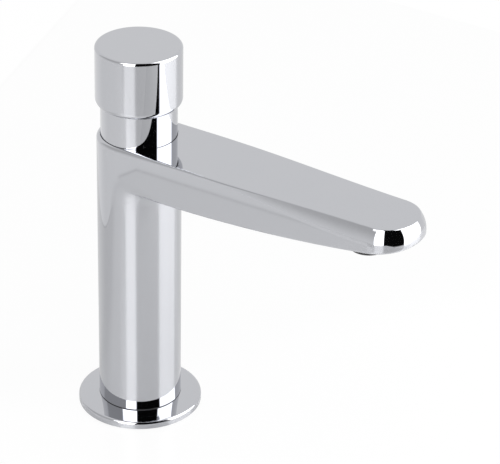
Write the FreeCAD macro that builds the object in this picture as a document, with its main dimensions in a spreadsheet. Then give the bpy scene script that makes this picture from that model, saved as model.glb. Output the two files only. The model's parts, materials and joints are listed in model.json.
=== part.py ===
"""Push-button basin tap: a cast body with a long flat spout, a self-closing cartridge and an aerator.

Millimetres. +Z is up, the deck is the plane z = 0, the origin is the centre of the flange's underside,
and the spout reaches along -Y.
"""
import FreeCAD, Part
import os
import Sketcher
from FreeCAD import Placement, Rotation, Vector

SIZES = {
    # Column and foot
    "column_dia": 38.0,
    "column_top": 139.0,
    "body_low": 1.2,
    "spigot_dia": 33.0,
    "flange_dia": 57.0,
    "flange_rim": 3.2,
    "flange_rise": 0.9,
    "flange_round": 1.3,
    "flange_seat": 2.2,
    "gasket_dia": 52.0,
    "gasket_width": 4.0,
    "gasket_thick": 1.5,
    # Spout
    "spout_reach": 144.9,
    "tip_width": 34.6,
    "tip_corner": 15.4,
    "tip_nose": 22.0,
    "root_depth": 19.6,
    "tip_depth": 9.2,
    "underside_sag": 4.8,
    "under_round": 1.2,
    "cut_margin": 5.0,
    "crown_cut": 4.6,
    "nose_round": 12.4,
    "top_round": 2.0,
    "edge_break": 0.8,
    # Water inlet and fixing stud in the foot
    "inlet_dia": 8.9,
    "inlet_depth": 13.0,
    "inlet_way_dia": 7.0,
    "inlet_offset": 6.0,
    "stud_dia": 6.8,
    "stud_depth": 14.0,
    "stud_offset": 9.5,
    # Hollow inside the column, and the stepped bore for the cartridge
    "cavity_dia": 29.0,
    "cavity_low": 20.0,
    "cavity_taper": 4.0,
    "recess_depth": 3.0,
    "thread_dia": 29.0,
    "thread_length": 7.0,
    "barrel_bore": 27.0,
    "barrel_length": 31.0,
    "nose_bore": 19.0,
    "nose_length": 14.0,
    "port_dia": 4.4,
    "port_drop": 15.8,
    # Cored hollow of the spout
    "core_width": 24.0,
    "core_start": 22.0,
    "core_roof": 3.5,
    "core_end_wall": 12.5,
    "core_root_drop": 17.2,
    "core_tip_drop": 11.2,
    "core_boss": 1.6,
    # Cartridge housing
    "barrel_dia": 22.6,
    "axial_gap": 1.0,
    "nose_ring_height": 7.0,
    "nose_ring_section": 1.5,
    "valve_bore": 13.2,
    "seat_thick": 2.3,
    "seat_hole": 8.0,
    "seat_height": 11.2,
    "throat_dia": 11.2,
    "window_dia": 5.0,
    "throat_length": 6.3,
    "gland_floor_thick": 2.5,
    "gland_depth": 2.5,
    "dashpot_dia": 18.6,
    "land_length": 3.5,
    "ring_section": 2.0,
    "groove_play": 0.2,
    "head_thread_dia": 21.0,
    "head_depth": 4.5,
    # Cartridge head, sleeve and its nut
    "head_flange_gap": 1.1,
    "head_flange_thick": 3.0,
    "neck_dia": 21.0,
    "neck_length": 7.0,
    "neck_thread_dia": 17.0,
    "neck_thread_length": 6.0,
    "bush_dia": 10.4,
    "bush_length": 4.3,
    "sleeve_dia": 34.4,
    "sleeve_wall": 1.4,
    "sleeve_gap": 0.25,
    "sleeve_show": 15.0,
    "sleeve_web": 2.0,
    "sleeve_top_gap": 0.6,
    "sleeve_nut_across": 22.0,
    "sleeve_nut_thick": 3.2,
    # Push button
    "button_dia": 39.0,
    "button_length": 28.0,
    "button_top_wall": 2.6,
    "button_top_round": 1.3,
    "button_low_round": 3.0,
    "button_gap": 0.3,
    "press_travel": 8.0,
    "carrier_disc": 2.8,
    "carrier_hub_dia": 15.0,
    "carrier_hub_length": 14.6,
    "carrier_web": 2.5,
    "screw_dia": 3.2,
    "screw_length": 11.0,
    "screw_head_dia": 7.0,
    "screw_head_thick": 2.2,
    "screw_key": 2.5,
    # Stem, piston and valve
    "stem_dia": 6.0,
    "stem_collar_dia": 8.4,
    "stem_collar_thick": 1.5,
    "stem_tail_dia": 4.0,
    "stem_tail_length": 7.4,
    "piston_thick": 4.5,
    "piston_gap": 0.25,
    "piston_ring_height": 1.8,
    "piston_ring_depth": 1.9,
    "clip_thick": 0.8,
    "clip_dia": 9.0,
    "clip_groove": 0.5,
    "bleed_pin_dia": 1.4,
    "bleed_pin_offset": 5.6,
    "bleed_head_dia": 2.6,
    "bleed_head_thick": 0.6,
    "washer_dia": 10.6,
    "washer_thick": 2.2,
    "holder_thick": 2.2,
    "nut_across": 6.4,
    "nut_thick": 2.2,
    "spring_washer_thick": 0.8,
    "spring_wire": 1.0,
    "spring_dia": 13.0,
    "spring_turns": 4.5,
    # Strainer at the cartridge's inlet
    "strainer_dia": 12.4,
    "strainer_wall": 0.6,
    "strainer_length": 12.0,
    "strainer_rim": 2.5,
    "strainer_slot": 1.2,
    "strainer_slot_height": 6.0,
    # Aerator
    "aerator_setback": 25.1,
    "aerator_dia": 16.0,
    "aerator_drop": 19.0,
    "aerator_length": 9.6,
    "aerator_wall": 1.4,
    "aerator_lip": 0.8,
    "aerator_lip_width": 0.6,
    "aerator_washer_thick": 1.6,
    "aerator_washer_bore": 11.0,
    "aerator_chamber": 12.0,
    "cage_length": 5.4,
    "cage_face": 1.2,
    "screen_thick": 0.6,
    "screen_hole": 1.3,
    "screen_pitch": 2.1,
    "limiter_hole": 1.6,
    "limiter_pitch": 3.15,
    # Fits
    "fit_gap": 0.05,
    "running_gap": 0.05,
}

SAME = 1e-4


class Size:
    """A length that knows its value now and the spreadsheet expression that keeps it up to date."""

    def __init__(self, value, text):
        self.value = value
        self.text = text

    def __add__(self, other):
        return Size(self.value + value_of(other), f"({self.text} + {text_of(other)})")

    def __sub__(self, other):
        return Size(self.value - value_of(other), f"({self.text} - {text_of(other)})")

    def __mul__(self, other):
        return Size(self.value * value_of(other), f"({self.text} * {text_of(other)})")

    def __truediv__(self, other):
        return Size(self.value / value_of(other), f"({self.text} / {text_of(other)})")

    def __neg__(self):
        return Size(-self.value, f"(0 - {self.text})")


def value_of(amount):
    return amount.value if isinstance(amount, Size) else float(amount)


def text_of(amount):
    return amount.text if isinstance(amount, Size) else str(float(amount))


doc = FreeCAD.newDocument("basin_tap")
sheet = doc.addObject("Spreadsheet::Sheet", "Sizes")
for row, (name, number) in enumerate(SIZES.items(), 1):
    sheet.set(f"A{row}", name)
    sheet.set(f"B{row}", str(number))
    sheet.setAlias(f"B{row}", name)
doc.recompute()


def size(name):
    return Size(SIZES[name], f"Sizes.{name}")


def root(amount):
    return Size(amount.value ** 0.5, f"sqrt({amount.text})")


def bind(thing, path, amount):
    """Ties a property to the spreadsheet."""
    thing.setExpression(path, amount.text)


def origin_plane(body, role):
    for feature in body.Origin.OriginFeatures:
        if feature.Role == role:
            return feature
    raise ValueError(role)


def new_sketch(body, name, role, height=None):
    sketch = body.newObject("Sketcher::SketchObject", name)
    sketch.AttachmentSupport = [(origin_plane(body, role), "")]
    sketch.MapMode = "FlatFace"
    if height is not None:
        bind(sketch, "AttachmentOffset.Base.z", height)
    return sketch


def pin_point(sketch, geometry, point, x, y):
    """Fixes one point of a sketch at x, y from its origin, both tied to the spreadsheet."""
    for kind, amount in (("DistanceX", x), ("DistanceY", y)):
        index = sketch.addConstraint(Sketcher.Constraint(kind, -1, 1, geometry, point, value_of(amount)))
        if isinstance(amount, Size):
            sketch.setExpression(f"Constraints[{index}]", amount.text)


def outline(sketch, points):
    """Closed outline of straight lines through the points."""
    corners = [Vector(value_of(x), value_of(y), 0) for x, y in points]
    for first, second in zip(corners, corners[1:] + corners[:1]):
        sketch.addGeometry(Part.LineSegment(first, second), False)
    for k, (x, y) in enumerate(points):
        sketch.addConstraint(Sketcher.Constraint("Coincident", k, 2, (k + 1) % len(points), 1))
        pin_point(sketch, k, 1, x, y)


def new_body(name):
    body = doc.addObject("PartDesign::Body", name)
    body.Label = name
    return body


def turn(body, name, points, kind="PartDesign::Revolution"):
    """Turns a profile of (radius, height) points about the vertical axis, as metal or as a cut."""
    sketch = new_sketch(body, f"{name}_profile", "XZ_Plane")
    outline(sketch, points)
    feature = body.newObject(kind, name)
    feature.Profile = sketch
    feature.ReferenceAxis = (sketch, ["V_Axis"])
    feature.Angle = 360
    body.Tip = feature
    return feature


def turned(name, points):
    body = new_body(name)
    turn(body, f"{name}_turning", points)
    return body


def round_edges(body, name, radius, wanted):
    """Rounds the edges of the body so far that the test picks."""
    doc.recompute()
    base = body.Tip
    picked = [f"Edge{k}" for k, edge in enumerate(base.Shape.Edges, 1) if wanted(edge)]
    fillet = body.newObject("PartDesign::Fillet", name)
    fillet.Base = (base, picked)
    bind(fillet, "Radius", radius)
    body.Tip = fillet
    return fillet


def ring_at(radius, height):
    """Test for a round edge of this radius at this height."""
    def test(edge):
        curve = edge.Curve
        return (isinstance(curve, Part.Circle) and abs(curve.Radius - value_of(radius)) < SAME
                and abs(curve.Center.z - value_of(height)) < SAME)
    return test


def cylinder(name, radius, low, length, x=None, y=None):
    thing = doc.addObject("Part::Cylinder", name)
    bind(thing, "Radius", radius)
    bind(thing, "Height", length)
    for axis, amount in (("x", x), ("y", y), ("z", low)):
        if amount is not None:
            bind(thing, f"Placement.Base.{axis}", amount)
    return thing


def cross_hole(name, diameter, height, length, turn_angle):
    """Hole that runs level through the vertical axis, turned to an angle about it."""
    thing = doc.addObject("Part::Cylinder", name)
    bind(thing, "Radius", diameter / 2)
    bind(thing, "Height", length)
    level = Rotation(Vector(0, 0, 1), turn_angle) * Rotation(Vector(1, 0, 0), 90)
    thing.Placement = Placement(Vector(0, 0, 0), level)
    along = level.multVec(Vector(0, 0, 1))
    bind(thing, "Placement.Base.x", length * (-along.x / 2))
    bind(thing, "Placement.Base.y", length * (-along.y / 2))
    bind(thing, "Placement.Base.z", height)
    return thing


def prism(name, sides, across, low, length):
    """Prism with this width across its flats."""
    thing = doc.addObject("Part::Prism", name)
    thing.Polygon = sides
    thing.setExpression("Circumradius", f"{across.text} / 2 / cos(180 deg / {sides})")
    bind(thing, "Height", length)
    bind(thing, "Placement.Base.z", low)
    return thing


def cut(name, base, tools):
    """The base without its tools, as the node of this name."""
    if len(tools) > 1:
        tool = doc.addObject("Part::MultiFuse", f"{name}_cuts")
        tool.Shapes = tools
    else:
        tool = tools[0]
    thing = doc.addObject("Part::Cut", f"{name}_cut")
    thing.Base = base
    thing.Tool = tool
    base.Label = f"{name}_blank"
    thing.Label = name
    return thing


def fuse(name, pieces):
    thing = doc.addObject("Part::MultiFuse", f"{name}_group")
    thing.Shapes = pieces
    thing.Label = name
    return thing


def seal_ring(name, inner_radius, section, height):
    """Rubber ring of round section, at its middle height."""
    thing = doc.addObject("Part::Torus", name)
    bind(thing, "Radius1", inner_radius + section / 2)
    bind(thing, "Radius2", section / 2)
    bind(thing, "Placement.Base.z", height)
    thing.Label = name
    return thing


# Levels and radii that several pieces share, from the deck up
fit = size("fit_gap")
run = size("running_gap")
column_top = size("column_top")
crown_top = column_top + size("crown_cut")
column_r = size("column_dia") / 2
body_low = size("body_low")
spigot_r = size("spigot_dia") / 2
flange_seat = size("flange_seat")
recess_low = column_top - size("recess_depth")
thread_low = recess_low - size("thread_length")
barrel_low = thread_low - size("barrel_length")
cavity_high = barrel_low - size("nose_length")
cavity_r = size("cavity_dia") / 2
nose_r = size("nose_bore") / 2
barrel_r = size("barrel_bore") / 2
thread_r = size("thread_dia") / 2
sleeve_r = size("sleeve_dia") / 2
sleeve_inner_r = sleeve_r - size("sleeve_wall")
recess_r = sleeve_r + size("sleeve_gap")
stem_r = size("stem_dia") / 2
stem_bore_r = stem_r + run
dashpot_r = size("dashpot_dia") / 2
valve_r = size("valve_bore") / 2
throat_r = size("throat_dia") / 2
ring_section = size("ring_section")
nose_ring_section = size("nose_ring_section")

nose_low = cavity_high + size("axial_gap")
seat_low = nose_low + size("seat_height")
seat_top = seat_low + size("seat_thick")
gland_floor = seat_top + size("throat_length")
gland_seat = gland_floor + size("gland_floor_thick")
gland_top = gland_seat + size("gland_depth")
head_low = recess_low - size("head_depth")
head_shoulder = recess_low + size("head_flange_thick")
web_low = head_shoulder + size("neck_length")
neck_top = web_low + size("neck_thread_length")
neck_thread_r = size("neck_thread_dia") / 2
bush_r = size("bush_dia") / 2
bush_low = neck_top - size("bush_length")
stem_seal_low = bush_low - ring_section - fit * 2

travel = size("press_travel")
button_low = column_top + size("sleeve_show")
button_top = button_low + size("button_length")
ceiling = button_top - size("button_top_wall")
button_r = size("button_dia") / 2
button_inner_r = sleeve_r + size("button_gap")
disc_low = ceiling - size("carrier_disc")
stem_top = disc_low - size("carrier_web")
hub_low = disc_low - size("carrier_hub_length")
sleeve_top = disc_low - travel - size("sleeve_top_gap")

collar_low = head_low - size("stem_collar_thick")
piston_low = collar_low - size("piston_thick")
clip_low = piston_low - size("clip_thick")
washer_low = seat_low - size("washer_thick")
holder_low = washer_low - size("holder_thick")
nut_low = holder_low - size("nut_thick")
stem_low = seat_low - size("stem_tail_length")
tail_r = size("stem_tail_dia") / 2

aerator_low = column_top - size("aerator_drop")
aerator_r = size("aerator_dia") / 2
aerator_top = aerator_low + size("aerator_length")
washer_top = aerator_top + size("aerator_washer_thick")
outlet_reach = size("spout_reach") - size("aerator_setback")
outlet_y = -outlet_reach
core_top = column_top - size("core_roof")


def plan_outline(sketch):
    """Top view of the body: half round behind the column, straight tapering sides and a soft round tip."""
    back, side, corner, nose, far_corner, far_side = range(6)
    half = size("tip_width") / 2
    corner_r = size("tip_corner")
    nose_r = size("tip_nose")
    reach = size("spout_reach")
    start = Vector(value_of(column_r), 0, 0)
    corner_x = value_of(half) - value_of(corner_r)
    apart = value_of(nose_r) - value_of(corner_r)
    nose_y = value_of(nose_r) - value_of(reach)
    corner_y = nose_y - (apart ** 2 - corner_x ** 2) ** 0.5
    end = Vector(value_of(half), corner_y, 0)
    out = (Vector(corner_x, corner_y, 0) - Vector(0, nose_y, 0)).normalize()
    join = Vector(0, nose_y, 0) + out * value_of(nose_r)
    middle = Vector(corner_x, corner_y, 0) + (Vector(1, 0, 0) + out).normalize() * value_of(corner_r)
    tip = Vector(0, -value_of(reach), 0)

    def mirrored(point):
        return Vector(-point.x, point.y, 0)

    sketch.addGeometry(Part.Arc(start, Vector(0, value_of(column_r), 0), mirrored(start)), False)
    sketch.addGeometry(Part.LineSegment(start, end), False)
    sketch.addGeometry(Part.Arc(end, middle, join), False)
    sketch.addGeometry(Part.Arc(join, tip, mirrored(join)), False)
    sketch.addGeometry(Part.Arc(mirrored(join), mirrored(middle), mirrored(end)), False)
    sketch.addGeometry(Part.LineSegment(mirrored(end), mirrored(start)), False)
    chain = [back, far_side, far_corner, nose, corner, side]
    for first, second in zip(chain, chain[1:] + chain[:1]):
        ends = [(p, q) for p in (1, 2) for q in (1, 2)
                if sketch.getPoint(first, p).distanceToPoint(sketch.getPoint(second, q)) < SAME]
        sketch.addConstraint(Sketcher.Constraint("Tangent", first, ends[0][0], second, ends[0][1]))
    sketch.addConstraint(Sketcher.Constraint("Coincident", back, 3, -1, 1))
    sketch.addConstraint(Sketcher.Constraint("PointOnObject", nose, 3, -2))
    sketch.addConstraint(Sketcher.Constraint("Equal", corner, far_corner))
    for geometry, radius in ((back, column_r), (corner, corner_r), (nose, nose_r)):
        index = sketch.addConstraint(Sketcher.Constraint("Radius", geometry, value_of(radius)))
        sketch.setExpression(f"Constraints[{index}]", radius.text)
    index = sketch.addConstraint(Sketcher.Constraint("DistanceY", nose, 3, -1, 1, -nose_y))
    sketch.setExpression(f"Constraints[{index}]", (reach - nose_r).text)
    index = sketch.addConstraint(Sketcher.Constraint("DistanceX", -1, 1, corner, 3, corner_x))
    sketch.setExpression(f"Constraints[{index}]", (half - corner_r).text)


def underside_outline(sketch):
    """Side view of the space under the spout: one long shallow arc, and straight lines clear of the body."""
    reach = size("spout_reach")
    margin = size("cut_margin")
    root_z = column_top - size("root_depth")
    tip_z = column_top - size("tip_depth")
    sag = size("underside_sag")
    run_length = reach + column_r
    rise = size("root_depth") - size("tip_depth")
    chord = root(run_length * run_length + rise * rise)
    radius = chord * chord / (sag * 8) + sag / 2
    tip = Vector(-value_of(reach), value_of(tip_z), 0)
    back = Vector(value_of(column_r), value_of(root_z), 0)
    across = (back - tip).normalize()
    low = (tip + back) * 0.5 + Vector(across.y, -across.x, 0) * value_of(sag)
    sketch.addGeometry(Part.Arc(tip, low, back), False)
    corners = [(column_r, root_z), (column_r + margin, root_z), (column_r + margin, root_z - margin * 2),
               (-(reach + margin), root_z - margin * 2), (-(reach + margin), tip_z), (-reach, tip_z)]
    points = [Vector(value_of(x), value_of(y), 0) for x, y in corners]
    for first, second in zip(points, points[1:]):
        sketch.addGeometry(Part.LineSegment(first, second), False)
    for k, (x, y) in enumerate(corners[:-1], 1):
        pin_point(sketch, k, 1, x, y)
        if k > 1:
            sketch.addConstraint(Sketcher.Constraint("Coincident", k - 1, 2, k, 1))
    last = len(corners) - 1
    pin_point(sketch, last, 2, *corners[-1])
    for line, point, where in ((1, 1, back), (last, 2, tip)):
        end = 1 if sketch.getPoint(0, 1).distanceToPoint(where) < SAME else 2
        sketch.addConstraint(Sketcher.Constraint("Coincident", 0, end, line, point))
    index = sketch.addConstraint(Sketcher.Constraint("Radius", 0, value_of(radius)))
    sketch.setExpression(f"Constraints[{index}]", radius.text)


def make_spout_core():
    """Hollow that the casting's core leaves in the spout, with a raised floor over the aerator's socket."""
    core = new_body("spout_core")
    side = new_sketch(core, "core_side", "YZ_Plane")
    start = size("core_start")
    end = size("spout_reach") - size("core_end_wall")
    boss = size("core_boss")
    boss_start = outlet_reach - aerator_r - fit - boss
    outline(side, [(-start, column_top - size("core_root_drop")), (-start, core_top), (-end, core_top),
                   (-end, washer_top + boss), (-boss_start, washer_top + boss),
                   (-boss_start, column_top - size("core_tip_drop"))])
    pad = core.newObject("PartDesign::Pad", "core_pad")
    pad.Profile = side
    bind(pad, "Length", size("core_width"))
    pad.Midplane = True
    core.Tip = pad
    return core


def edges_at(shape, height):
    level = value_of(height) - SAME
    return [(k, edge) for k, edge in enumerate(shape.Edges, 1) if edge.BoundBox.ZMin > level]


def growing_round(name, base, height, at_column, at_spout):
    """Rounds the edges at this height with a radius at the column that runs into another at the spout's tip."""
    def radius_at(end):
        return value_of(at_spout if end.Y < -value_of(column_r) else at_column)

    doc.recompute()
    rounded = doc.addObject("Part::Fillet", name)
    rounded.Base = base
    rounded.Edges = [(k, radius_at(edge.firstVertex()), radius_at(edge.lastVertex()))
                     for k, edge in edges_at(base.Shape, height)]
    return rounded


def level_top(crown):
    """Cuts the crown off level with the column's top."""
    margin = size("cut_margin")
    reach = size("spout_reach")
    waste = doc.addObject("Part::Box", "crown_waste")
    bind(waste, "Length", (column_r + margin) * 2)
    bind(waste, "Width", reach + column_r + margin * 2)
    bind(waste, "Height", size("crown_cut") + margin)
    bind(waste, "Placement.Base.x", -(column_r + margin))
    bind(waste, "Placement.Base.y", -(reach + margin))
    bind(waste, "Placement.Base.z", column_top)
    level = doc.addObject("Part::Cut", "level_top")
    level.Base = crown
    level.Tool = waste
    return level


def make_tap_body():
    """Cast column and spout, with the water passages, the cartridge bore and the two threaded holes."""
    body = new_body("tap_body_casting")
    plan = new_sketch(body, "plan", "XY_Plane", crown_top)
    plan_outline(plan)
    spout = body.newObject("PartDesign::Pad", "spout")
    spout.Profile = plan
    bind(spout, "Length", size("crown_cut") + size("root_depth") + size("cut_margin"))
    spout.Reversed = True
    side = new_sketch(body, "side", "YZ_Plane")
    underside_outline(side)
    under = body.newObject("PartDesign::Pocket", "underside")
    under.Profile = side
    under.Type = "ThroughAll"
    under.Midplane = True
    body.Tip = under

    def on_underside(edge):
        box = edge.BoundBox
        level = value_of(column_top) - SAME
        return box.ZMax < level and box.ZMax - box.ZMin < box.XLength + box.YLength

    round_edges(body, "underside_round", size("under_round"), on_underside)
    turn(body, "column", [(0, body_low), (spigot_r, body_low), (spigot_r, flange_seat),
                          (column_r, flange_seat), (column_r, crown_top), (0, crown_top)])

    crown = growing_round("crown_round", body, crown_top, size("crown_cut") / 2, size("nose_round"))
    level = level_top(crown)
    casting = growing_round("top_edge_round", level, column_top, size("top_round"), size("edge_break"))
    taper = size("cavity_taper")
    cavity_low = size("cavity_low")
    bore = turned("stepped_bore",
                  [(0, cavity_low), (cavity_r - taper, cavity_low), (cavity_r, cavity_low + taper),
                   (cavity_r, cavity_high - taper), (cavity_r - taper, cavity_high), (nose_r, cavity_high),
                   (nose_r, barrel_low), (barrel_r, barrel_low), (barrel_r, thread_low), (thread_r, thread_low),
                   (thread_r, recess_low), (recess_r, recess_low), (recess_r, column_top), (0, column_top)])

    inlet_y = -size("inlet_offset")
    inlet = cylinder("inlet_thread", size("inlet_dia") / 2, body_low, size("inlet_depth"), y=inlet_y)
    inlet_way = cylinder("inlet_way", size("inlet_way_dia") / 2, body_low,
                         cavity_low + taper - body_low, y=inlet_y)
    stud = cylinder("stud_thread", size("stud_dia") / 2, body_low, size("stud_depth"), y=size("stud_offset"))
    port_r = size("port_dia") / 2
    port = cylinder("outlet_port", port_r, column_top - size("port_drop"), size("core_start") + port_r)
    port.Placement = Placement(Vector(0, 0, 0), Rotation(Vector(1, 0, 0), 90))
    chamber_low = column_top - size("root_depth")
    chamber = cylinder("aerator_chamber", size("aerator_chamber") / 2, chamber_low,
                       core_top - chamber_low, y=outlet_y)
    socket = cylinder("aerator_socket", aerator_r + fit, chamber_low, washer_top - chamber_low, y=outlet_y)
    return cut("tap_body", casting, [bore, inlet, inlet_way, stud, port, make_spout_core(), chamber, socket])


def make_base_flange():
    """Round foot plate with a seat for the column and a groove for its gasket."""
    body = new_body("base_flange")
    flange_r = size("flange_dia") / 2
    rim = size("flange_rim")
    seat_r = column_r + fit
    hole_r = spigot_r + fit
    turn(body, "flange_turning",
         [(hole_r, 0), (flange_r, 0), (flange_r, rim), (seat_r, rim + size("flange_rise")),
          (seat_r, flange_seat), (hole_r, flange_seat)])
    round_edges(body, "rim_round", size("flange_round"), ring_at(flange_r, rim))
    gasket_r = size("gasket_dia") / 2
    inner_r = gasket_r - size("gasket_width")
    turn(body, "gasket_groove",
         [(inner_r - fit, 0), (gasket_r + fit, 0), (gasket_r + fit, size("gasket_thick")),
          (inner_r - fit, size("gasket_thick"))], "PartDesign::Groove")
    return body


def make_base_gasket():
    gasket_r = size("gasket_dia") / 2
    inner_r = gasket_r - size("gasket_width")
    thick = size("gasket_thick")
    return turned("base_gasket", [(inner_r, 0), (gasket_r, 0), (gasket_r, thick), (inner_r, thick)])


def make_cartridge_housing():
    """Brass housing: valve bore below, water windows, stem gland, and the damping cylinder above."""
    nose_out = nose_r - fit
    barrel_out = size("barrel_dia") / 2
    land_r = barrel_r - fit
    land_low = thread_low - size("land_length")
    land_mid = thread_low - size("land_length") / 2
    half_groove = ring_section / 2 + size("groove_play")
    groove_r = barrel_r - ring_section - fit * 2
    nose_mid = nose_low + size("nose_ring_height")
    half_nose_groove = nose_ring_section / 2 + size("groove_play")
    nose_groove_r = nose_r - nose_ring_section - fit * 2
    head_thread_r = size("head_thread_dia") / 2
    gland_r = stem_bore_r + ring_section + fit
    blank = turned("cartridge_housing",
                   [(valve_r, nose_low), (nose_out, nose_low), (nose_out, nose_mid - half_nose_groove),
                    (nose_groove_r, nose_mid - half_nose_groove), (nose_groove_r, nose_mid + half_nose_groove),
                    (nose_out, nose_mid + half_nose_groove), (nose_out, barrel_low + size("axial_gap")),
                    (barrel_out, barrel_low + size("axial_gap")), (barrel_out, land_low), (land_r, land_low),
                    (land_r, land_mid - half_groove), (groove_r, land_mid - half_groove),
                    (groove_r, land_mid + half_groove), (land_r, land_mid + half_groove), (land_r, thread_low),
                    (thread_r - fit, thread_low), (thread_r - fit, recess_low), (head_thread_r, recess_low),
                    (head_thread_r, head_low), (dashpot_r, head_low), (dashpot_r, gland_top),
                    (gland_r, gland_top), (gland_r, gland_seat), (stem_bore_r, gland_seat),
                    (stem_bore_r, gland_floor), (throat_r, gland_floor), (throat_r, seat_top),
                    (valve_r, seat_top)])
    window_z = seat_top + size("throat_length") / 2
    length = size("barrel_dia") + size("axial_gap")
    windows = [cross_hole(f"window_{k}", size("window_dia"), window_z, length, 90 * k) for k in range(2)]
    return cut("cartridge_housing", blank, windows)


def make_housing_rings():
    land_mid = thread_low - size("land_length") / 2
    upper = seal_ring("upper_body_seal", barrel_r - fit - ring_section, ring_section, land_mid)
    lower = seal_ring("lower_body_seal", nose_r - fit - nose_ring_section, nose_ring_section,
                      nose_low + size("nose_ring_height"))
    return [upper, lower]


def make_valve_seat_ring():
    hole_r = size("seat_hole") / 2
    return turned("valve_seat_ring", [(hole_r, seat_low), (valve_r - fit, seat_low),
                                      (valve_r - fit, seat_top), (hole_r, seat_top)])


def make_gland_seal():
    return seal_ring("gland_seal", stem_bore_r, ring_section, gland_seat + fit + ring_section / 2)


def make_spring_washer():
    """Flat washer that closes the gland and carries the spring."""
    inner_r = stem_bore_r + fit
    outer_r = dashpot_r - size("piston_gap")
    top = gland_top + size("spring_washer_thick")
    return turned("spring_washer", [(inner_r, gland_top), (outer_r, gland_top), (outer_r, top), (inner_r, top)])


def make_return_spring():
    """Coil spring under the piston."""
    body = new_body("return_spring")
    wire = size("spring_wire")
    low = gland_top + size("spring_washer_thick") + wire / 2
    sketch = new_sketch(body, "wire_section", "XZ_Plane")
    sketch.addGeometry(Part.Circle(Vector(value_of(size("spring_dia") / 2), value_of(low), 0),
                                   Vector(0, 0, 1), value_of(wire / 2)), False)
    pin_point(sketch, 0, 3, size("spring_dia") / 2, low)
    index = sketch.addConstraint(Sketcher.Constraint("Radius", 0, value_of(wire / 2)))
    sketch.setExpression(f"Constraints[{index}]", (wire / 2).text)
    coil = body.newObject("PartDesign::AdditiveHelix", "coil")
    coil.Profile = sketch
    coil.ReferenceAxis = (sketch, ["V_Axis"])
    coil.Mode = "height-turns-angle"
    space = piston_low - gland_top - size("spring_washer_thick") - wire
    bind(coil, "Height", space)
    bind(coil, "Turns", size("spring_turns"))
    body.Tip = coil
    return body


def make_strainer():
    """Basket strainer that hangs from the housing's nose into the water chamber."""
    outer_r = size("strainer_dia") / 2
    inner_r = outer_r - size("strainer_wall")
    rim_r = valve_r - fit
    low = nose_low + size("strainer_rim") - size("strainer_length")
    top = nose_low + size("strainer_rim")
    floor = low + size("strainer_wall")
    blank = turned("inlet_strainer", [(0, low), (outer_r, low), (outer_r, nose_low), (rim_r, nose_low),
                                      (rim_r, top), (inner_r, top), (inner_r, floor), (0, floor)])
    slots = []
    length = size("strainer_dia") + size("axial_gap")
    width = size("strainer_slot")
    for k in range(3):
        slot = doc.addObject("Part::Box", f"strainer_slot_{k}")
        bind(slot, "Length", length)
        bind(slot, "Width", width)
        bind(slot, "Height", size("strainer_slot_height"))
        turn_to = Rotation(Vector(0, 0, 1), 60 * k)
        slot.Placement = Placement(Vector(0, 0, 0), turn_to)
        along = turn_to.multVec(Vector(1, 0, 0))
        aside = turn_to.multVec(Vector(0, 1, 0))
        bind(slot, "Placement.Base.x", length * (-along.x / 2) - width * (aside.x / 2))
        bind(slot, "Placement.Base.y", length * (-along.y / 2) - width * (aside.y / 2))
        bind(slot, "Placement.Base.z", floor + size("strainer_wall"))
        slots.append(slot)
    return cut("inlet_strainer", blank, slots)


def make_cartridge_head():
    """Screwed cover of the housing, with the gland that guides the stem."""
    head_r = size("head_thread_dia") / 2 - fit
    flange_r = thread_r - size("head_flange_gap")
    neck_r = size("neck_dia") / 2
    return turned("cartridge_head",
                  [(stem_bore_r, head_low), (head_r, head_low), (head_r, recess_low), (flange_r, recess_low),
                   (flange_r, head_shoulder), (neck_r, head_shoulder), (neck_r, web_low),
                   (neck_thread_r, web_low), (neck_thread_r, neck_top), (bush_r, neck_top),
                   (bush_r, stem_seal_low), (stem_bore_r, stem_seal_low)])


def make_stem_seal():
    return seal_ring("stem_seal", stem_bore_r, ring_section, stem_seal_low + fit + ring_section / 2)


def make_stem_bush():
    outer_r = bush_r - fit
    return turned("stem_bush", [(stem_bore_r, bush_low), (outer_r, bush_low),
                                (outer_r, neck_top), (stem_bore_r, neck_top)])


def make_guide_sleeve():
    """Plated sleeve that shows between the body and the button, held by its web."""
    web_top = web_low + size("sleeve_web")
    hole_r = neck_thread_r + fit
    return turned("guide_sleeve",
                  [(sleeve_inner_r, recess_low), (sleeve_r, recess_low), (sleeve_r, sleeve_top),
                   (sleeve_inner_r, sleeve_top), (sleeve_inner_r, web_top), (hole_r, web_top),
                   (hole_r, web_low), (sleeve_inner_r, web_low)])


def make_sleeve_nut():
    low = web_low + size("sleeve_web")
    hexagon = prism("sleeve_nut_hexagon", 6, size("sleeve_nut_across"), low, size("sleeve_nut_thick"))
    hole = cylinder("sleeve_nut_hole", neck_thread_r + fit, low, size("sleeve_nut_thick"))
    return cut("sleeve_nut", hexagon, [hole])


def make_push_button():
    """Plated cap that slides down over the sleeve."""
    body = new_body("push_button_cap")
    turn(body, "cap_turning", [(0, button_low), (button_r, button_low), (button_r, button_top),
                               (0, button_top)])
    round_edges(body, "cap_top_round", size("button_top_round"), ring_at(button_r, button_top))
    round_edges(body, "cap_low_round", size("button_low_round"), ring_at(button_r, button_low))
    turn(body, "cap_bore", [(0, button_low), (button_inner_r, button_low), (button_inner_r, ceiling),
                            (0, ceiling)], "PartDesign::Groove")
    return body


def make_button_carrier():
    """Disc and hub that join the cap to the stem."""
    disc_r = button_inner_r - fit
    hub_r = size("carrier_hub_dia") / 2
    socket_r = stem_r + fit
    hole_r = size("screw_dia") / 2 + fit
    head_r = size("screw_head_dia") / 2 + size("button_gap")
    return turned("button_carrier",
                  [(socket_r, hub_low), (hub_r, hub_low), (hub_r, disc_low), (disc_r, disc_low),
                   (disc_r, ceiling), (head_r, ceiling), (head_r, disc_low), (hole_r, disc_low),
                   (hole_r, stem_top), (socket_r, stem_top)])


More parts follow.
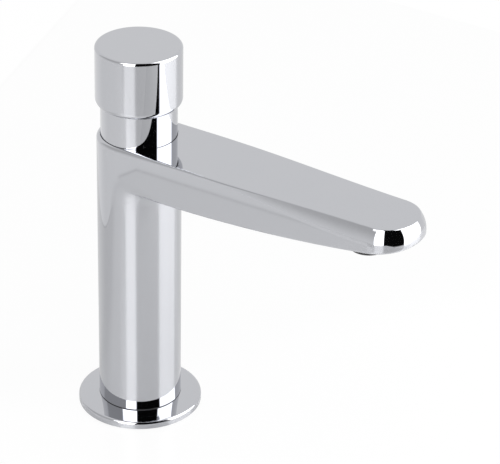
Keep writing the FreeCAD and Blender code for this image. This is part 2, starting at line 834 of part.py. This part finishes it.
def make_carrier_screw():
    shank_r = size("screw_dia") / 2
    head_r = size("screw_head_dia") / 2
    low = disc_low - size("screw_length")
    top = disc_low + size("screw_head_thick")
    blank = turned("carrier_screw", [(0, low), (shank_r, low), (shank_r, disc_low), (head_r, disc_low),
                                     (head_r, top), (0, top)])
    key_depth = size("screw_head_thick") / 2
    key = prism("screw_key", 6, size("screw_key"), top - key_depth, key_depth)
    return cut("carrier_screw", blank, [key])


def make_plunger_stem():
    """Steel stem from the button down to the valve, with the collar that stops it under the head."""
    collar_r = size("stem_collar_dia") / 2
    groove_r = stem_r - size("clip_groove")
    tap_r = size("screw_dia") / 2 + fit
    tap_low = disc_low - size("screw_length") - size("axial_gap")
    return turned("plunger_stem",
                  [(0, stem_low), (tail_r, stem_low), (tail_r, seat_low), (stem_r, seat_low),
                   (stem_r, clip_low), (groove_r, clip_low), (groove_r, piston_low), (stem_r, piston_low),
                   (stem_r, collar_low), (collar_r, collar_low), (collar_r, head_low), (stem_r, head_low),
                   (stem_r, stem_top), (tap_r, stem_top), (tap_r, tap_low), (0, tap_low)])


def make_stem_clip():
    outer_r = size("clip_dia") / 2
    inner_r = stem_r - size("clip_groove") + fit
    return turned("stem_clip", [(inner_r, clip_low), (outer_r, clip_low), (outer_r, piston_low),
                                (inner_r, piston_low)])


def make_piston():
    """Damping piston with a groove for its lip ring and a bleed hole for its timing pin."""
    outer_r = dashpot_r - size("piston_gap")
    groove_r = dashpot_r - run - size("piston_ring_depth") - fit
    mid = piston_low + size("piston_thick") / 2
    half = size("piston_ring_height") / 2 + fit
    bore_r = stem_r + fit
    blank = turned("damping_piston",
                   [(bore_r, piston_low), (outer_r, piston_low), (outer_r, mid - half), (groove_r, mid - half),
                    (groove_r, mid + half), (outer_r, mid + half), (outer_r, collar_low), (bore_r, collar_low)])
    bleed = cylinder("bleed_hole", size("bleed_pin_dia") / 2 + fit, piston_low, size("piston_thick"),
                     x=size("bleed_pin_offset"))
    return cut("damping_piston", blank, [bleed])


def make_piston_ring():
    """Rubber lip ring, flared towards the pressure side."""
    outer_r = dashpot_r - run
    inner_r = outer_r - size("piston_ring_depth")
    mid = piston_low + size("piston_thick") / 2
    half = size("piston_ring_height") / 2
    waist_r = outer_r - size("piston_gap")
    return turned("piston_lip_ring", [(inner_r, mid - half), (waist_r, mid - half), (outer_r, mid + half / 2),
                                      (outer_r, mid + half), (inner_r, mid + half)])


def make_timing_pin():
    """Calibrated pin that sets how slowly the piston returns."""
    offset = size("bleed_pin_offset")
    shank = cylinder("timing_pin_shank", size("bleed_pin_dia") / 2, piston_low, size("piston_thick"), x=offset)
    head = cylinder("timing_pin_head", size("bleed_head_dia") / 2, collar_low, size("bleed_head_thick"),
                    x=offset)
    return fuse("timing_pin", [shank, head])


def make_valve_washer():
    outer_r = size("washer_dia") / 2
    return turned("valve_washer", [(tail_r + fit, washer_low), (outer_r, washer_low), (outer_r, seat_low),
                                   (tail_r + fit, seat_low)])


def make_washer_holder():
    outer_r = size("washer_dia") / 2
    return turned("washer_holder", [(tail_r + fit, holder_low), (outer_r - fit, holder_low),
                                    (outer_r, washer_low), (tail_r + fit, washer_low)])


def make_valve_nut():
    hexagon = prism("valve_nut_hexagon", 6, size("nut_across"), nut_low, size("nut_thick"))
    hole = cylinder("valve_nut_hole", tail_r + fit, nut_low, size("nut_thick"))
    return cut("valve_nut", hexagon, [hole])


def shifted(thing):
    """Moves a piece that was turned on the column's axis to the outlet's axis."""
    bind(thing, "Placement.Base.y", outlet_y)
    return thing


def make_aerator_housing():
    """Ring in the spout's outlet, with a lip that holds the insert."""
    inner_r = aerator_r - size("aerator_wall")
    lip_r = inner_r - size("aerator_lip_width")
    lip_top = aerator_low + size("aerator_lip")
    return shifted(turned("aerator_housing",
                          [(lip_r, aerator_low), (aerator_r, aerator_low), (aerator_r, aerator_top),
                           (inner_r, aerator_top), (inner_r, lip_top), (lip_r, lip_top)]))


def screen_holes(name, hole, pitch, rings, low, length):
    """Round holes on rings about the outlet's axis, six more on each ring."""
    holes = [cylinder(f"{name}_hole_0_0", hole / 2, low, length, y=outlet_y)]
    for ring in range(1, rings + 1):
        for k in range(6 * ring):
            way = Rotation(Vector(0, 0, 1), 60 * k / ring).multVec(Vector(1, 0, 0))
            holes.append(cylinder(f"{name}_hole_{ring}_{k}", hole / 2, low, length,
                                  x=pitch * (ring * way.x), y=outlet_y + pitch * (ring * way.y)))
    return holes


def make_aerator_insert():
    """Plastic insert whose face is a grid of round holes."""
    outer_r = aerator_r - size("aerator_wall") - fit
    low = aerator_low + size("aerator_lip")
    top = low + size("cage_length")
    face_top = low + size("cage_face")
    hollow_r = outer_r - size("aerator_lip_width")
    blank = shifted(turned("aerator_insert", [(0, low), (outer_r, low), (outer_r, top), (hollow_r, top),
                                              (hollow_r, face_top), (0, face_top)]))
    holes = screen_holes("insert", size("screen_hole"), size("screen_pitch"), 2, low, face_top - low)
    return cut("aerator_insert", blank, holes)


def make_aerator_screen():
    outer_r = aerator_r - size("aerator_wall") - fit
    low = aerator_low + size("aerator_lip") + size("cage_length")
    top = low + size("screen_thick")
    blank = shifted(turned("aerator_screen", [(0, low), (outer_r, low), (outer_r, top), (0, top)]))
    holes = screen_holes("screen", size("screen_hole"), size("screen_pitch"), 2, low, size("screen_thick"))
    return cut("aerator_screen", blank, holes)


def make_flow_limiter():
    """Plastic disc with a few small holes, which limits the flow."""
    outer_r = aerator_r - size("aerator_wall") - fit
    low = aerator_low + size("aerator_lip") + size("cage_length") + size("screen_thick")
    blank = shifted(turned("flow_limiter", [(0, low), (outer_r, low), (outer_r, aerator_top),
                                            (0, aerator_top)]))
    holes = screen_holes("limiter", size("limiter_hole"), size("limiter_pitch"), 1, low, aerator_top - low)
    return cut("flow_limiter", blank, holes)


def make_aerator_washer():
    inner_r = size("aerator_washer_bore") / 2
    return shifted(turned("aerator_washer", [(inner_r, aerator_top), (aerator_r, aerator_top),
                                             (aerator_r, washer_top), (inner_r, washer_top)]))


nodes = [make_tap_body(), make_base_flange(), make_base_gasket(), make_cartridge_housing()]
nodes += make_housing_rings()
nodes += [make_valve_seat_ring(), make_gland_seal(), make_spring_washer(), make_return_spring(),
          make_strainer(), make_cartridge_head(), make_stem_seal(), make_stem_bush(), make_guide_sleeve(),
          make_sleeve_nut(), make_push_button(), make_button_carrier(), make_carrier_screw(),
          make_plunger_stem(), make_stem_clip(), make_piston(), make_piston_ring(), make_timing_pin(),
          make_valve_washer(), make_washer_holder(), make_valve_nut(), make_aerator_housing(),
          make_aerator_insert(), make_aerator_screen(), make_flow_limiter(), make_aerator_washer()]
doc.recompute()

for thing in doc.Objects:
    for state in thing.State:
        if state in ("Invalid", "Error"):
            raise RuntimeError(f"{thing.Label}: {state}")
for node in nodes:
    if node.Shape.isNull() or not node.Shape.isValid():
        raise RuntimeError(f"{node.Label}: bad shape")

os.makedirs("parts", exist_ok=True)
for node in nodes:
    node.Shape.exportStep(f"parts/{node.Label}.step")
    print(f"{node.Label}: {len(node.Shape.Solids)} solid, {node.Shape.Volume:.1f} mm3")
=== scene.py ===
"""Chrome basin tap on a white studio table.

Metres, in the frame of the solids: +Z is up, the deck is z = 0 and the spout reaches along -Y.
"""
import json
import math

import bpy
from mathutils import Matrix, Vector


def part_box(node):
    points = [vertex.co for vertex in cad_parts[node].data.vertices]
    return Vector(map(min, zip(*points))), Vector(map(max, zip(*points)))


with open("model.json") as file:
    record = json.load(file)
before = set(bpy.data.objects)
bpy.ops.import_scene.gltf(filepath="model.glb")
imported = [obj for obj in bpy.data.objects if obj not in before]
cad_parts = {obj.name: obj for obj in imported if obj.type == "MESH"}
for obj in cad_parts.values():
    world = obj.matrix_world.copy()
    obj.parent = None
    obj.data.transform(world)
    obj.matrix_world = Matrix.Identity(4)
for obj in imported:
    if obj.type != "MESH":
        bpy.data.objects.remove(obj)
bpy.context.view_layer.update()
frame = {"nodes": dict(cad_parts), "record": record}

MM = 0.001
WHITE = (1, 1, 1, 1)

# Camera, solved from the photograph
VIEW_TURN = math.radians(-57)
VIEW_HEIGHT = math.radians(29.416)
VIEW_ROLL = math.radians(1.07)
VIEW_DISTANCE = 1.235
AIM_ASIDE = 0.05008
AIM_HEIGHT = 0.08913
LENS = 196.2
SENSOR = 36

# Studio panels that the chrome mirrors: brightness, then the turn from the camera to the right and the
# height, each with half the width of its soft edge. Angles are in degrees. A later panel covers an earlier
# one. Their order is grey, bright and bright on the left, black in front, black above, bright on the right.
PANELS = [
    (0.62, (-115, -36), 4, (8, 66), 30),
    (4.6, (-36, -8), 2, (-20, 62), 2),
    (4.6, (-52, -36), 3, (36, 62), 5),
    (0.004, (-7, 57), 1.5, (-20, 72), 1.5),
    (0.004, (-30, 57), 1.5, (64, 88), 2),
    (4.0, (58, 115), 2, (-20, 68), 6),
]
# Brightness of the surroundings in chrome between the panels, and as plain light
SURROUND = 0.96
WORLD_LIGHT = 1.04

# Table: a square just below the deck. Its glow is the share of the table that the camera sees as plain white.
FLOOR_SIZE = 0.9
FLOOR_BELOW = 0.0003
FLOOR_WHITE = 0.9
FLOOR_GLOSS = 0.17
FLOOR_GLOSS_ROUGHNESS = 0.22
FLOOR_GLOW = 0.92
PAPER_GRAIN = 300.0
PAPER_GRAIN_TONE = -0.02
# The floor is a little greyer round the tap. The grey ends at x = GREY_AREA_SIDE and
# y = GREY_AREA_BACK + GREY_AREA_SLOPE * x, and PAINTED_EDGE_SHADOW darkens its soft edge as a painted shadow.
# Tones are shares of the floor's white.
TABLE_TONE = 0.97
GREY_AREA_TONE = 0.905
GREY_AREA_SIDE = -0.2235
GREY_AREA_BACK = 0.1916
GREY_AREA_SLOPE = 0.288
GREY_AREA_EDGE = 0.002
PAINTED_EDGE_SHADOW = 0.8
# Behind the tap the grey area carries a painted shadow of the tap, which sets in while
# y + SHADE_LEAN * x goes through SHADE
TAP_SHADOW_TONE = 0.79
SHADE_LEAN = 0.6
SHADE = (0.0, 0.05)
# Painted shade: the whole floor darkens in the direction FRONT, while the distance from the axis goes through
# FRONT_SHADE
FRONT = (-0.67, -0.74)
FRONT_SHADE = (0.19, 0.27)
FRONT_TONE = 0.79

# Softboxes that chrome doesn't mirror: size, place, aim and power. One is above the tap, one low beyond the
# spout.
LAMPS = {
    "softbox_above": (1.6, (-0.9, -1.1, 2.2), (0.0, 0.0, 0.0), 10.0),
    "softbox_low": (0.3, (0.22, -0.62, 0.34), (0.12, -0.36, 0.0), 1.5),
}

# Plating: the bloom in its colour, the haze in its gloss, and the wave that buffing leaves
CHROME = (0.535, 0.541, 0.566)
CHROME_TINTED = (0.522, 0.530, 0.560)
BLOOM_SCALE = 60.0
HAZE_SCALE = 420.0
HAZE_DETAIL = 5.0
HAZE_LEAST = 0.02
HAZE_SPAN = 0.03
WAVE_SCALE = 110.0
WAVE_DETAIL = 1.0
WAVE_DEPTH = 0.002 * MM

# Casting: it is bare brass nearer to the axis than PLATED_FROM, with marks of the drill along the bores
PLATED_FROM = 16.8 * MM
CUT_SCALE = 900.0
CUT_STRETCH = (1.0, 1.0, 0.1)
CUT_ROUGHNESS = 0.22
CUT_ROUGHNESS_SPAN = 0.15
# Threads under the foot: the x and y of the axis, how far out the grooves reach, and the pitch
THREADS = [
    (0.0, -6.0 * MM, 4.6 * MM, 1.0 * MM),
    (0.0, 9.5 * MM, 3.55 * MM, 1.25 * MM),
]
THREAD_DEPTH = 0.9 * MM
HALF_PITCH = 0.5
# Where the spout's side turns into the column: its heights, how far out it ends, and the radius of the turn
ROOT_HEIGHTS = (108 * MM, 127 * MM)
ROOT_FADE = 4 * MM
ROOT_REACH = (36 * MM, 22 * MM)
ROOT_ROUND = 9 * MM
ROOT_SAMPLES = 8
# Painted shadow in the gap round the column: a dark line just above the foot plate
SEAM_HEIGHT = 0.4 * MM
SEAM_SHADOW_DARK = (0.03, 0.03, 0.032)
SEAM_ROUGHNESS = 0.5

# Turned, drawn and pressed metal, by slot: name, two colours, least roughness and depth of the marks
BRASS = (0.60, 0.42, 0.17)
BRASS_TINTED = (0.52, 0.35, 0.13)
TURNED = {
    "brass": ("turned_brass", BRASS, BRASS_TINTED, 0.16, 0.01 * MM),
    "steel": ("turned_steel", (0.60, 0.60, 0.61), (0.52, 0.52, 0.54), 0.18, 0.008 * MM),
    "spring_steel": ("drawn_wire", (0.42, 0.43, 0.45), (0.34, 0.34, 0.36), 0.26, 0.006 * MM),
    "mesh_steel": ("pressed_sheet", (0.56, 0.57, 0.58), (0.48, 0.49, 0.50), 0.3, 0.004 * MM),
}
RING_SCALE = 2600.0
RING_DETAIL = 2.0
RING_ROUGHNESS_SPAN = 0.2
STAIN_SCALE = 150.0

# Plastics and rubber, by slot: name, two colours, least roughness and depth of the grain
MOULDED = {
    "rubber": ("black_rubber", (0.022, 0.022, 0.023), (0.034, 0.033, 0.032), 0.62, 0.03 * MM),
    "carrier_plastic": ("black_acetal", (0.02, 0.02, 0.021), (0.028, 0.028, 0.03), 0.36, 0.01 * MM),
    "bush_plastic": ("natural_acetal", (0.72, 0.71, 0.66), (0.66, 0.65, 0.60), 0.38, 0.01 * MM),
    "aerator_plastic": ("grey_plastic", (0.25, 0.27, 0.30), (0.21, 0.23, 0.26), 0.34, 0.01 * MM),
}
PATCH_SCALE = 220.0
PATCH_ROUGHNESS_SPAN = 0.15
GRAIN_SCALE = 1800.0
GRAIN_DETAIL = 2.0

# Sockets of a Mix node that mixes colours
MIX_FIRST = 6
MIX_SECOND = 7
MIX_RESULT = 2


class Nodes:
    """Adds nodes to a tree. Most calls return the new node's output, and add returns the node."""

    def __init__(self, tree):
        self.tree = tree
        tree.nodes.clear()

    def add(self, kind, inputs=(), **settings):
        """Adds a node. An input is another node's output, which is linked, or a plain value."""
        node = self.tree.nodes.new(kind)
        for name, value in settings.items():
            setattr(node, name, value)
        for key, value in dict(inputs).items():
            if isinstance(value, bpy.types.NodeSocket):
                self.tree.links.new(value, node.inputs[key])
            else:
                node.inputs[key].default_value = value
        return node

    def math(self, operation, *values):
        return self.add("ShaderNodeMath", enumerate(values), operation=operation).outputs[0]

    def rest(self, share):
        return self.math("SUBTRACT", 1.0, share)

    def smooth_step(self, value, low, high):
        """0 at low, 1 at high, and eased in and out. Low may be the larger one."""
        node = self.add("ShaderNodeMapRange", {"Value": value, "From Min": low, "From Max": high},
                        interpolation_type="SMOOTHSTEP")
        return node.outputs["Result"]

    def between(self, value, low, high, edge):
        """1 between low and high, 0 outside, with soft edges."""
        rise = self.smooth_step(value, low - edge, low + edge)
        fall = self.smooth_step(value, high - edge, high + edge)
        return self.math("MULTIPLY", rise, self.rest(fall))

    def blend(self, share, first, second):
        """A number between two others."""
        rest = self.rest(share)
        return self.math("ADD", self.math("MULTIPLY", rest, first), self.math("MULTIPLY", share, second))

    def place(self):
        return self.add("ShaderNodeTexCoord").outputs["Object"]

    def coordinates(self):
        split = self.add("ShaderNodeSeparateXYZ", {"Vector": self.place()}).outputs
        return split[0], split[1], split[2]

    def stretched(self, vector, scale):
        return self.add("ShaderNodeMapping", {"Vector": vector, "Scale": scale}).outputs["Vector"]

    def noise(self, vector, scale, detail=3.0):
        node = self.add("ShaderNodeTexNoise", {"Vector": vector, "Scale": scale, "Detail": detail})
        return node.outputs["Fac"]

    def colours(self, share, first, second):
        node = self.add("ShaderNodeMix", {"Factor": share}, data_type="RGBA")
        node.inputs[MIX_FIRST].default_value = (*first, 1)
        node.inputs[MIX_SECOND].default_value = (*second, 1)
        return node.outputs[MIX_RESULT]

    def bump(self, height, distance, normal=None):
        inputs = {"Height": height, "Distance": distance}
        if normal is not None:
            inputs["Normal"] = normal
        return self.add("ShaderNodeBump", inputs).outputs["Normal"]

    def mix_shaders(self, share, first, second):
        return self.add("ShaderNodeMixShader", {0: share, 1: first, 2: second}).outputs[0]

    def surface(self, shader):
        self.add("ShaderNodeOutputMaterial", {"Surface": shader})


def new_material(name):
    material = bpy.data.materials.new(name)
    material.use_nodes = True
    return material, Nodes(material.node_tree)


def principled(nodes, **inputs):
    """A principled shader. Its inputs are written in small letters, with underscores."""
    by_socket = {key.replace("_", " ").title(): value for key, value in inputs.items()}
    return nodes.add("ShaderNodeBsdfPrincipled", by_socket).outputs[0]


def round_axis(nodes, x, y, centre_x=0.0, centre_y=0.0):
    """Distance from an upright axis, and the angle round it."""
    dx = nodes.math("SUBTRACT", x, centre_x)
    dy = nodes.math("SUBTRACT", y, centre_y)
    squares = nodes.math("ADD", nodes.math("POWER", dx, 2.0), nodes.math("POWER", dy, 2.0))
    return nodes.math("SQRT", squares), nodes.math("ARCTAN2", dy, dx)


def chrome_shader(nodes, normal=None):
    """Polished plating: a faint bloom in colour and gloss, and the slow wave that buffing leaves."""
    place = nodes.place()
    bloom = nodes.noise(place, BLOOM_SCALE)
    colour = nodes.colours(bloom, CHROME, CHROME_TINTED)
    haze = nodes.math("MULTIPLY_ADD", nodes.noise(place, HAZE_SCALE, HAZE_DETAIL), HAZE_SPAN, HAZE_LEAST)
    wave = nodes.bump(nodes.noise(place, WAVE_SCALE, WAVE_DETAIL), WAVE_DEPTH, normal)
    return principled(nodes, base_color=colour, metallic=1.0, roughness=haze, normal=wave)


def make_chrome():
    material, nodes = new_material("chrome_plate")
    nodes.surface(chrome_shader(nodes))
    return material


def bare_brass(nodes, x, y, z):
    """The casting's own metal where it is cut, with the two threads as grooves in its shading."""
    threads = 0.0
    for centre_x, centre_y, reach, pitch in THREADS:
        distance, angle = round_axis(nodes, x, y, centre_x, centre_y)
        turns = nodes.math("MULTIPLY_ADD", angle, 1 / math.tau, nodes.math("DIVIDE", z, pitch))
        groove = nodes.math("PINGPONG", turns, HALF_PITCH)
        in_bore = nodes.math("LESS_THAN", distance, reach)
        threads = nodes.math("ADD", threads, nodes.math("MULTIPLY", groove, in_bore))
    cut_marks = nodes.noise(nodes.stretched(nodes.place(), CUT_STRETCH), CUT_SCALE)
    return principled(nodes, base_color=nodes.colours(cut_marks, BRASS, BRASS_TINTED), metallic=1.0,
                      roughness=nodes.math("MULTIPLY_ADD", cut_marks, CUT_ROUGHNESS_SPAN, CUT_ROUGHNESS),
                      normal=nodes.bump(threads, THREAD_DEPTH))


def make_cast_body():
    """Bare brass inside. Plated outside, with a soft turn from column to spout and a painted shadow in the
    seam below.
    """
    material, nodes = new_material("plated_casting")
    x, y, z = nodes.coordinates()
    brass = bare_brass(nodes, x, y, z)
    out, _ = round_axis(nodes, x, y)
    at_height = nodes.between(z, *ROOT_HEIGHTS, ROOT_FADE)
    at_root = nodes.math("MULTIPLY", at_height, nodes.smooth_step(out, *ROOT_REACH))
    turn = nodes.add("ShaderNodeBevel", {"Radius": nodes.math("MULTIPLY", at_root, ROOT_ROUND)},
                     samples=ROOT_SAMPLES)
    plated = nodes.math("GREATER_THAN", out, PLATED_FROM)
    in_seam = nodes.math("LESS_THAN", z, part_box("base_flange")[1][2] + SEAM_HEIGHT)
    # the seam's dark line is a painted shadow of the gap between column and foot plate
    seam_shadow = principled(nodes, base_color=(*SEAM_SHADOW_DARK, 1), roughness=SEAM_ROUGHNESS)
    outside = nodes.mix_shaders(in_seam, chrome_shader(nodes, turn.outputs["Normal"]), seam_shadow)
    nodes.surface(nodes.mix_shaders(plated, brass, outside))
    return material


def make_turned(name, colour, tinted, roughness, mark_depth):
    """Metal off the lathe, with fine rings round the vertical axis."""
    material, nodes = new_material(name)
    x, y, z = nodes.coordinates()
    distance, _ = round_axis(nodes, x, y)
    rings_at = nodes.add("ShaderNodeCombineXYZ", {0: distance, 1: 0.0, 2: z}).outputs[0]
    rings = nodes.noise(rings_at, RING_SCALE, RING_DETAIL)
    stain = nodes.noise(nodes.place(), STAIN_SCALE)
    surface = principled(nodes, base_color=nodes.colours(stain, colour, tinted), metallic=1.0,
                         roughness=nodes.math("MULTIPLY_ADD", rings, RING_ROUGHNESS_SPAN, roughness),
                         normal=nodes.bump(rings, mark_depth))
    nodes.surface(surface)
    return material


def make_moulded(name, colour, tinted, roughness, grain_depth):
    """Moulded plastic or rubber, with a fine grain and uneven gloss."""
    material, nodes = new_material(name)
    place = nodes.place()
    patches = nodes.noise(place, PATCH_SCALE)
    grain = nodes.noise(place, GRAIN_SCALE, GRAIN_DETAIL)
    surface = principled(nodes, base_color=nodes.colours(patches, colour, tinted),
                         roughness=nodes.math("MULTIPLY_ADD", patches, PATCH_ROUGHNESS_SPAN, roughness),
                         normal=nodes.bump(grain, grain_depth))
    nodes.surface(surface)
    return material


def give_finish(thing, material):
    for slot in thing.material_slots:
        slot.link = "OBJECT"
        slot.material = material


def finish_nodes():
    """Gives every solid the material of its slot, and the casting its own."""
    materials = {"chrome": make_chrome()}
    for slot, looks in TURNED.items():
        materials[slot] = make_turned(*looks)
    for slot, looks in MOULDED.items():
        materials[slot] = make_moulded(*looks)
    for row in frame["record"]["subparts"]:
        give_finish(frame["nodes"][row["node"]], materials[row["material_slot"]])
    give_finish(frame["nodes"]["tap_body"], make_cast_body())


def view_axes():
    """The camera's right, up and back directions, before its roll."""
    back = Vector((math.sin(VIEW_TURN) * math.cos(VIEW_HEIGHT),
                   -math.cos(VIEW_TURN) * math.cos(VIEW_HEIGHT),
                   math.sin(VIEW_HEIGHT)))
    right = Vector((math.cos(VIEW_TURN), math.sin(VIEW_TURN), 0))
    return right, back.cross(right), back


def make_camera():
    right, up, back = view_axes()
    place = back * VIEW_DISTANCE + right * AIM_ASIDE + Vector((0, 0, AIM_HEIGHT))
    rolled_right = right * math.cos(VIEW_ROLL) + up * math.sin(VIEW_ROLL)
    rolled_up = up * math.cos(VIEW_ROLL) - right * math.sin(VIEW_ROLL)
    camera = bpy.data.objects.new("camera", bpy.data.cameras.new("camera"))
    camera.data.sensor_width = SENSOR
    camera.data.lens = LENS
    turn = Matrix((rolled_right, rolled_up, back)).transposed()
    camera.matrix_world = Matrix.Translation(place) @ turn.to_4x4()
    bpy.context.collection.objects.link(camera)
    bpy.context.scene.camera = camera


def make_world():
    """White all round for the camera, with the studio's panels only where metal mirrors it."""
    world = bpy.data.worlds.new("studio")
    bpy.context.scene.world = world
    world.use_nodes = True
    nodes = Nodes(world.node_tree)
    right, _, _ = view_axes()
    towards_camera = Vector((right.y, -right.x, 0))
    direction = nodes.add("ShaderNodeTexCoord").outputs["Generated"]

    def along(axis):
        dot = nodes.add("ShaderNodeVectorMath", {0: direction, 1: axis}, operation="DOT_PRODUCT")
        return dot.outputs["Value"]

    turn = nodes.math("DEGREES", nodes.math("ARCTAN2", along(right), along(towards_camera)))
    height = nodes.math("DEGREES", nodes.math("ARCSINE", along(Vector((0, 0, 1)))))
    mirrored = SURROUND
    for brightness, turns, turn_edge, heights, height_edge in PANELS:
        inside = nodes.math("MULTIPLY", nodes.between(turn, *turns, turn_edge),
                            nodes.between(height, *heights, height_edge))
        mirrored = nodes.blend(inside, mirrored, brightness)
    rays = nodes.add("ShaderNodeLightPath").outputs
    plain = nodes.blend(rays["Is Camera Ray"], WORLD_LIGHT, 1.0)
    light = {"Color": WHITE, "Strength": nodes.blend(rays["Is Glossy Ray"], plain, mirrored)}
    background = nodes.add("ShaderNodeBackground", light).outputs[0]
    nodes.add("ShaderNodeOutputWorld", {"Surface": background})


def floor_tone(nodes):
    """How light the floor is, from the table, the greyer area round the tap with its painted edge shadow and
    painted shadow of the tap, the painted shade towards the front, and the grain.
    """
    grain = nodes.noise(nodes.place(), PAPER_GRAIN)
    x, y, _ = nodes.coordinates()
    behind_edge = nodes.math("SUBTRACT", y, nodes.math("MULTIPLY_ADD", x, GREY_AREA_SLOPE, GREY_AREA_BACK))
    off_grey_area = nodes.math("MAXIMUM", nodes.smooth_step(behind_edge, -GREY_AREA_EDGE, GREY_AREA_EDGE),
                           nodes.smooth_step(x, GREY_AREA_SIDE + GREY_AREA_EDGE, GREY_AREA_SIDE - GREY_AREA_EDGE))
    behind_tap = nodes.math("MULTIPLY_ADD", x, SHADE_LEAN, y)
    # painted shadow of the tap on the grey area behind it
    grey_and_tap_shadow = nodes.blend(nodes.smooth_step(behind_tap, *SHADE), GREY_AREA_TONE, TAP_SHADOW_TONE)
    # painted shadow: a darker line along the soft edge of the greyer area
    edge_shadow = nodes.math("MULTIPLY", nodes.math("MULTIPLY", off_grey_area, nodes.rest(off_grey_area)), PAINTED_EDGE_SHADOW)
    tone = nodes.math("SUBTRACT", nodes.blend(off_grey_area, grey_and_tap_shadow, TABLE_TONE), edge_shadow)
    # painted shade: the floor darkens towards the front
    ahead = nodes.math("MULTIPLY_ADD", x, FRONT[0], nodes.math("MULTIPLY", y, FRONT[1]))
    white = nodes.blend(nodes.smooth_step(ahead, *FRONT_SHADE), FLOOR_WHITE, FLOOR_WHITE * FRONT_TONE)
    return nodes.math("MULTIPLY", tone, nodes.math("MULTIPLY_ADD", grain, PAPER_GRAIN_TONE, white))


def make_floor():
    """White table, slightly greyer round the tap, with painted shadows and painted shade in its tone. The
    camera sees it all as white, with a faint shadow.
    """
    mesh = bpy.data.meshes.new("floor")
    half = FLOOR_SIZE / 2
    corners = [(x, y, -FLOOR_BELOW) for x, y in ((-half, -half), (half, -half), (half, half), (-half, half))]
    mesh.from_pydata(corners, [], [(0, 1, 2, 3)])
    floor = bpy.data.objects.new("floor", mesh)
    bpy.context.collection.objects.link(floor)
    material, nodes = new_material("white_sheet")
    tone = floor_tone(nodes)
    colour = nodes.add("ShaderNodeCombineColor", {0: tone, 1: tone, 2: tone}).outputs[0]
    matt = nodes.add("ShaderNodeBsdfDiffuse", {"Color": colour}).outputs[0]
    satin = nodes.add("ShaderNodeBsdfAnisotropic", {"Roughness": FLOOR_GLOSS_ROUGHNESS}).outputs[0]
    paper = nodes.mix_shaders(FLOOR_GLOSS, matt, satin)
    rays = nodes.add("ShaderNodeLightPath").outputs
    glow = nodes.math("MULTIPLY", rays["Is Camera Ray"], FLOOR_GLOW)
    light = nodes.add("ShaderNodeEmission", {"Strength": 1.0}).outputs[0]
    nodes.surface(nodes.mix_shaders(glow, paper, light))
    mesh.materials.append(material)


def make_lamps():
    """Adds the softboxes, which neither the camera nor the metal sees."""
    for name, (size, place, aim, power) in LAMPS.items():
        light = bpy.data.lights.new(name, "AREA")
        light.shape = "DISK"
        light.size = size
        light.energy = power
        lamp = bpy.data.objects.new(name, light)
        lamp.location = place
        lamp.rotation_euler = (Vector(aim) - Vector(place)).to_track_quat("-Z", "Y").to_euler()
        lamp.visible_glossy = False
        lamp.visible_camera = False
        bpy.context.collection.objects.link(lamp)


finish_nodes()
make_world()
make_floor()
make_lamps()
make_camera()
bpy.context.scene.view_settings.view_transform = "Standard"
